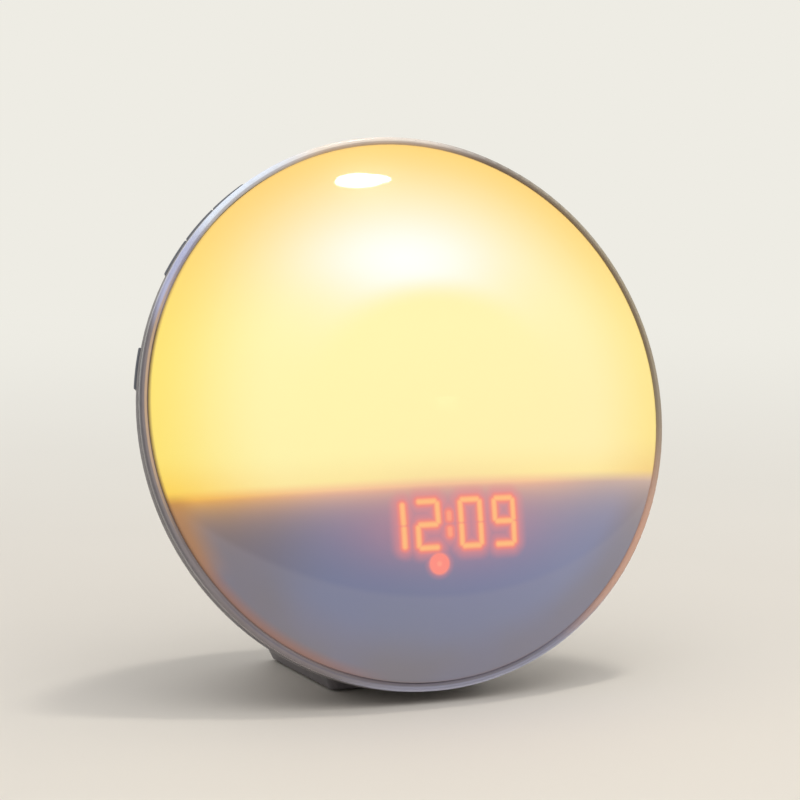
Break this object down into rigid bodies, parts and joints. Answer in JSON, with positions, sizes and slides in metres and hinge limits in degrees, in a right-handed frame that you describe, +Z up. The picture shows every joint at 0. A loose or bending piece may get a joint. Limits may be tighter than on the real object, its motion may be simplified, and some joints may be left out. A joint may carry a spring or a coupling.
{
  "type": "sunrise alarm clock",
  "caption": "Round leaning wake-up light and clock: opal dome over a lamp and a digital display, clear rim, side keys, bowl-shaped housing on a flared foot.",
  "frame": {"origin": "middle of the clock's footprint box, at table height", "axes": "+Z up, the dome faces -Y, +X is right as seen from the front"},
  "size_m": [0.17, 0.0928, 0.1699],
  "materials": {
    "opal_dome": "glossy opal, light passes through",
    "clear_rim": "clear, polished",
    "housing_plastic": "fine satin",
    "key_plastic": "satin",
    "reflector_plastic": "white, half gloss",
    "divider_plastic": "white, matt",
    "board_laminate": "green solder mask",
    "switch_plastic": "black",
    "lamp_phosphor": "yellow phosphor in a white frame",
    "screw_steel": "zinc plated",
    "panel_plastic": "satin",
    "module_black": "black face",
    "segment_orange": "lit diffuser",
    "indicator_lens": "tinted epoxy",
    "chip_black": "moulded",
    "capacitor_can": "bright can",
    "connector_plastic": "ivory",
    "jack_plastic": "black",
    "contact_metal": "plated",
    "foam": "soft foam",
    "frame_steel": "pressed sheet",
    "cone_paper": "black paper",
    "magnet_ferrite": "ground ferrite",
    "cell_steel": "stainless can",
    "cap_plastic": "satin",
    "pad_rubber": "matt rubber"
  },
  "bodies": {
    "housing": {"back_shell": "housing_plastic", "battery_contact_side": "contact_metal", "battery_contact_top": "contact_metal", "board_capacitors": "capacitor_can", "board_chips": "chip_black", "board_connectors": "connector_plastic", "coin_cell": "cell_steel", "digit_display": "module_black", "digit_segments": "segment_orange", "display_board": "board_laminate", "display_panel": "panel_plastic", "display_screws": "screw_steel", "foot_pads": "pad_rubber", "front_dome": "opal_dome", "indicator_led": "indicator_lens", "lamp_board": "board_laminate", "lamp_leds": "lamp_phosphor", "lamp_screws": "screw_steel", "left_key_board_lower": "board_laminate", "left_key_board_upper": "board_laminate", "left_key_switches_lower": "switch_plastic", "left_key_switches_upper": "switch_plastic", "light_divider": "divider_plastic", "light_reflector": "reflector_plastic", "main_board": "board_laminate", "main_board_screws": "screw_steel", "panel_screws": "screw_steel", "power_jack": "jack_plastic", "power_jack_pin": "contact_metal", "right_key_board_lower": "board_laminate", "right_key_board_upper": "board_laminate", "right_key_switches_lower": "switch_plastic", "right_key_switches_upper": "switch_plastic", "rim_ring": "clear_rim", "speaker_frame": "frame_steel", "speaker_gasket": "foam", "speaker_magnet": "magnet_ferrite", "speaker_screws": "screw_steel", "speaker_yoke": "frame_steel"},
    "left_key_1": {"left_key_1": "key_plastic"},
    "left_key_2": {"left_key_2": "key_plastic"},
    "left_key_3": {"left_key_3": "key_plastic"},
    "left_key_4": {"left_key_4": "key_plastic"},
    "right_key_1": {"right_key_1": "key_plastic"},
    "right_key_2": {"right_key_2": "key_plastic"},
    "right_key_3": {"right_key_3": "key_plastic"},
    "right_key_4": {"right_key_4": "key_plastic"},
    "speaker_cone": {"speaker_cone": "cone_paper"},
    "battery_cap": {"battery_cap": "cap_plastic"}
  },
  "joints": [
    {"name": "left_key_1_press", "type": "slide", "parent": "housing", "child": "left_key_1", "axis": [0.7242, -0.1504, -0.673], "range_m": [0, 0.0008], "stiffness_N_per_m": 2500},
    {"name": "left_key_2_press", "type": "slide", "parent": "housing", "child": "left_key_2", "axis": [0.7242, -0.1504, -0.673], "range_m": [0, 0.0008], "stiffness_N_per_m": 2500},
    {"name": "left_key_3_press", "type": "slide", "parent": "housing", "child": "left_key_3", "axis": [0.7242, -0.1504, -0.673], "range_m": [0, 0.0008], "stiffness_N_per_m": 2500},
    {"name": "left_key_4_press", "type": "slide", "parent": "housing", "child": "left_key_4", "axis": [0.9829, -0.0401, -0.1795], "range_m": [0, 0.0008], "stiffness_N_per_m": 2500},
    {"name": "right_key_1_press", "type": "slide", "parent": "housing", "child": "right_key_1", "axis": [-0.7242, -0.1504, -0.673], "range_m": [0, 0.0008], "stiffness_N_per_m": 2500},
    {"name": "right_key_2_press", "type": "slide", "parent": "housing", "child": "right_key_2", "axis": [-0.7242, -0.1504, -0.673], "range_m": [0, 0.0008], "stiffness_N_per_m": 2500},
    {"name": "right_key_3_press", "type": "slide", "parent": "housing", "child": "right_key_3", "axis": [-0.7242, -0.1504, -0.673], "range_m": [0, 0.0008], "stiffness_N_per_m": 2500},
    {"name": "right_key_4_press", "type": "slide", "parent": "housing", "child": "right_key_4", "axis": [-0.9829, -0.0401, -0.1795], "range_m": [0, 0.0008], "stiffness_N_per_m": 2500},
    {"name": "speaker_cone_stroke", "type": "slide", "parent": "housing", "child": "speaker_cone", "axis": [0, -0.9759, 0.2181], "range_m": [-0.0005, 0.0005], "stiffness_N_per_m": 3000},
    {"name": "battery_cap_turn", "type": "hinge", "parent": "housing", "child": "battery_cap", "pos_m": [0, 0.01842, 0.0035], "axis": [0, 0, 1], "range_deg": [0, 45]}
  ]
}
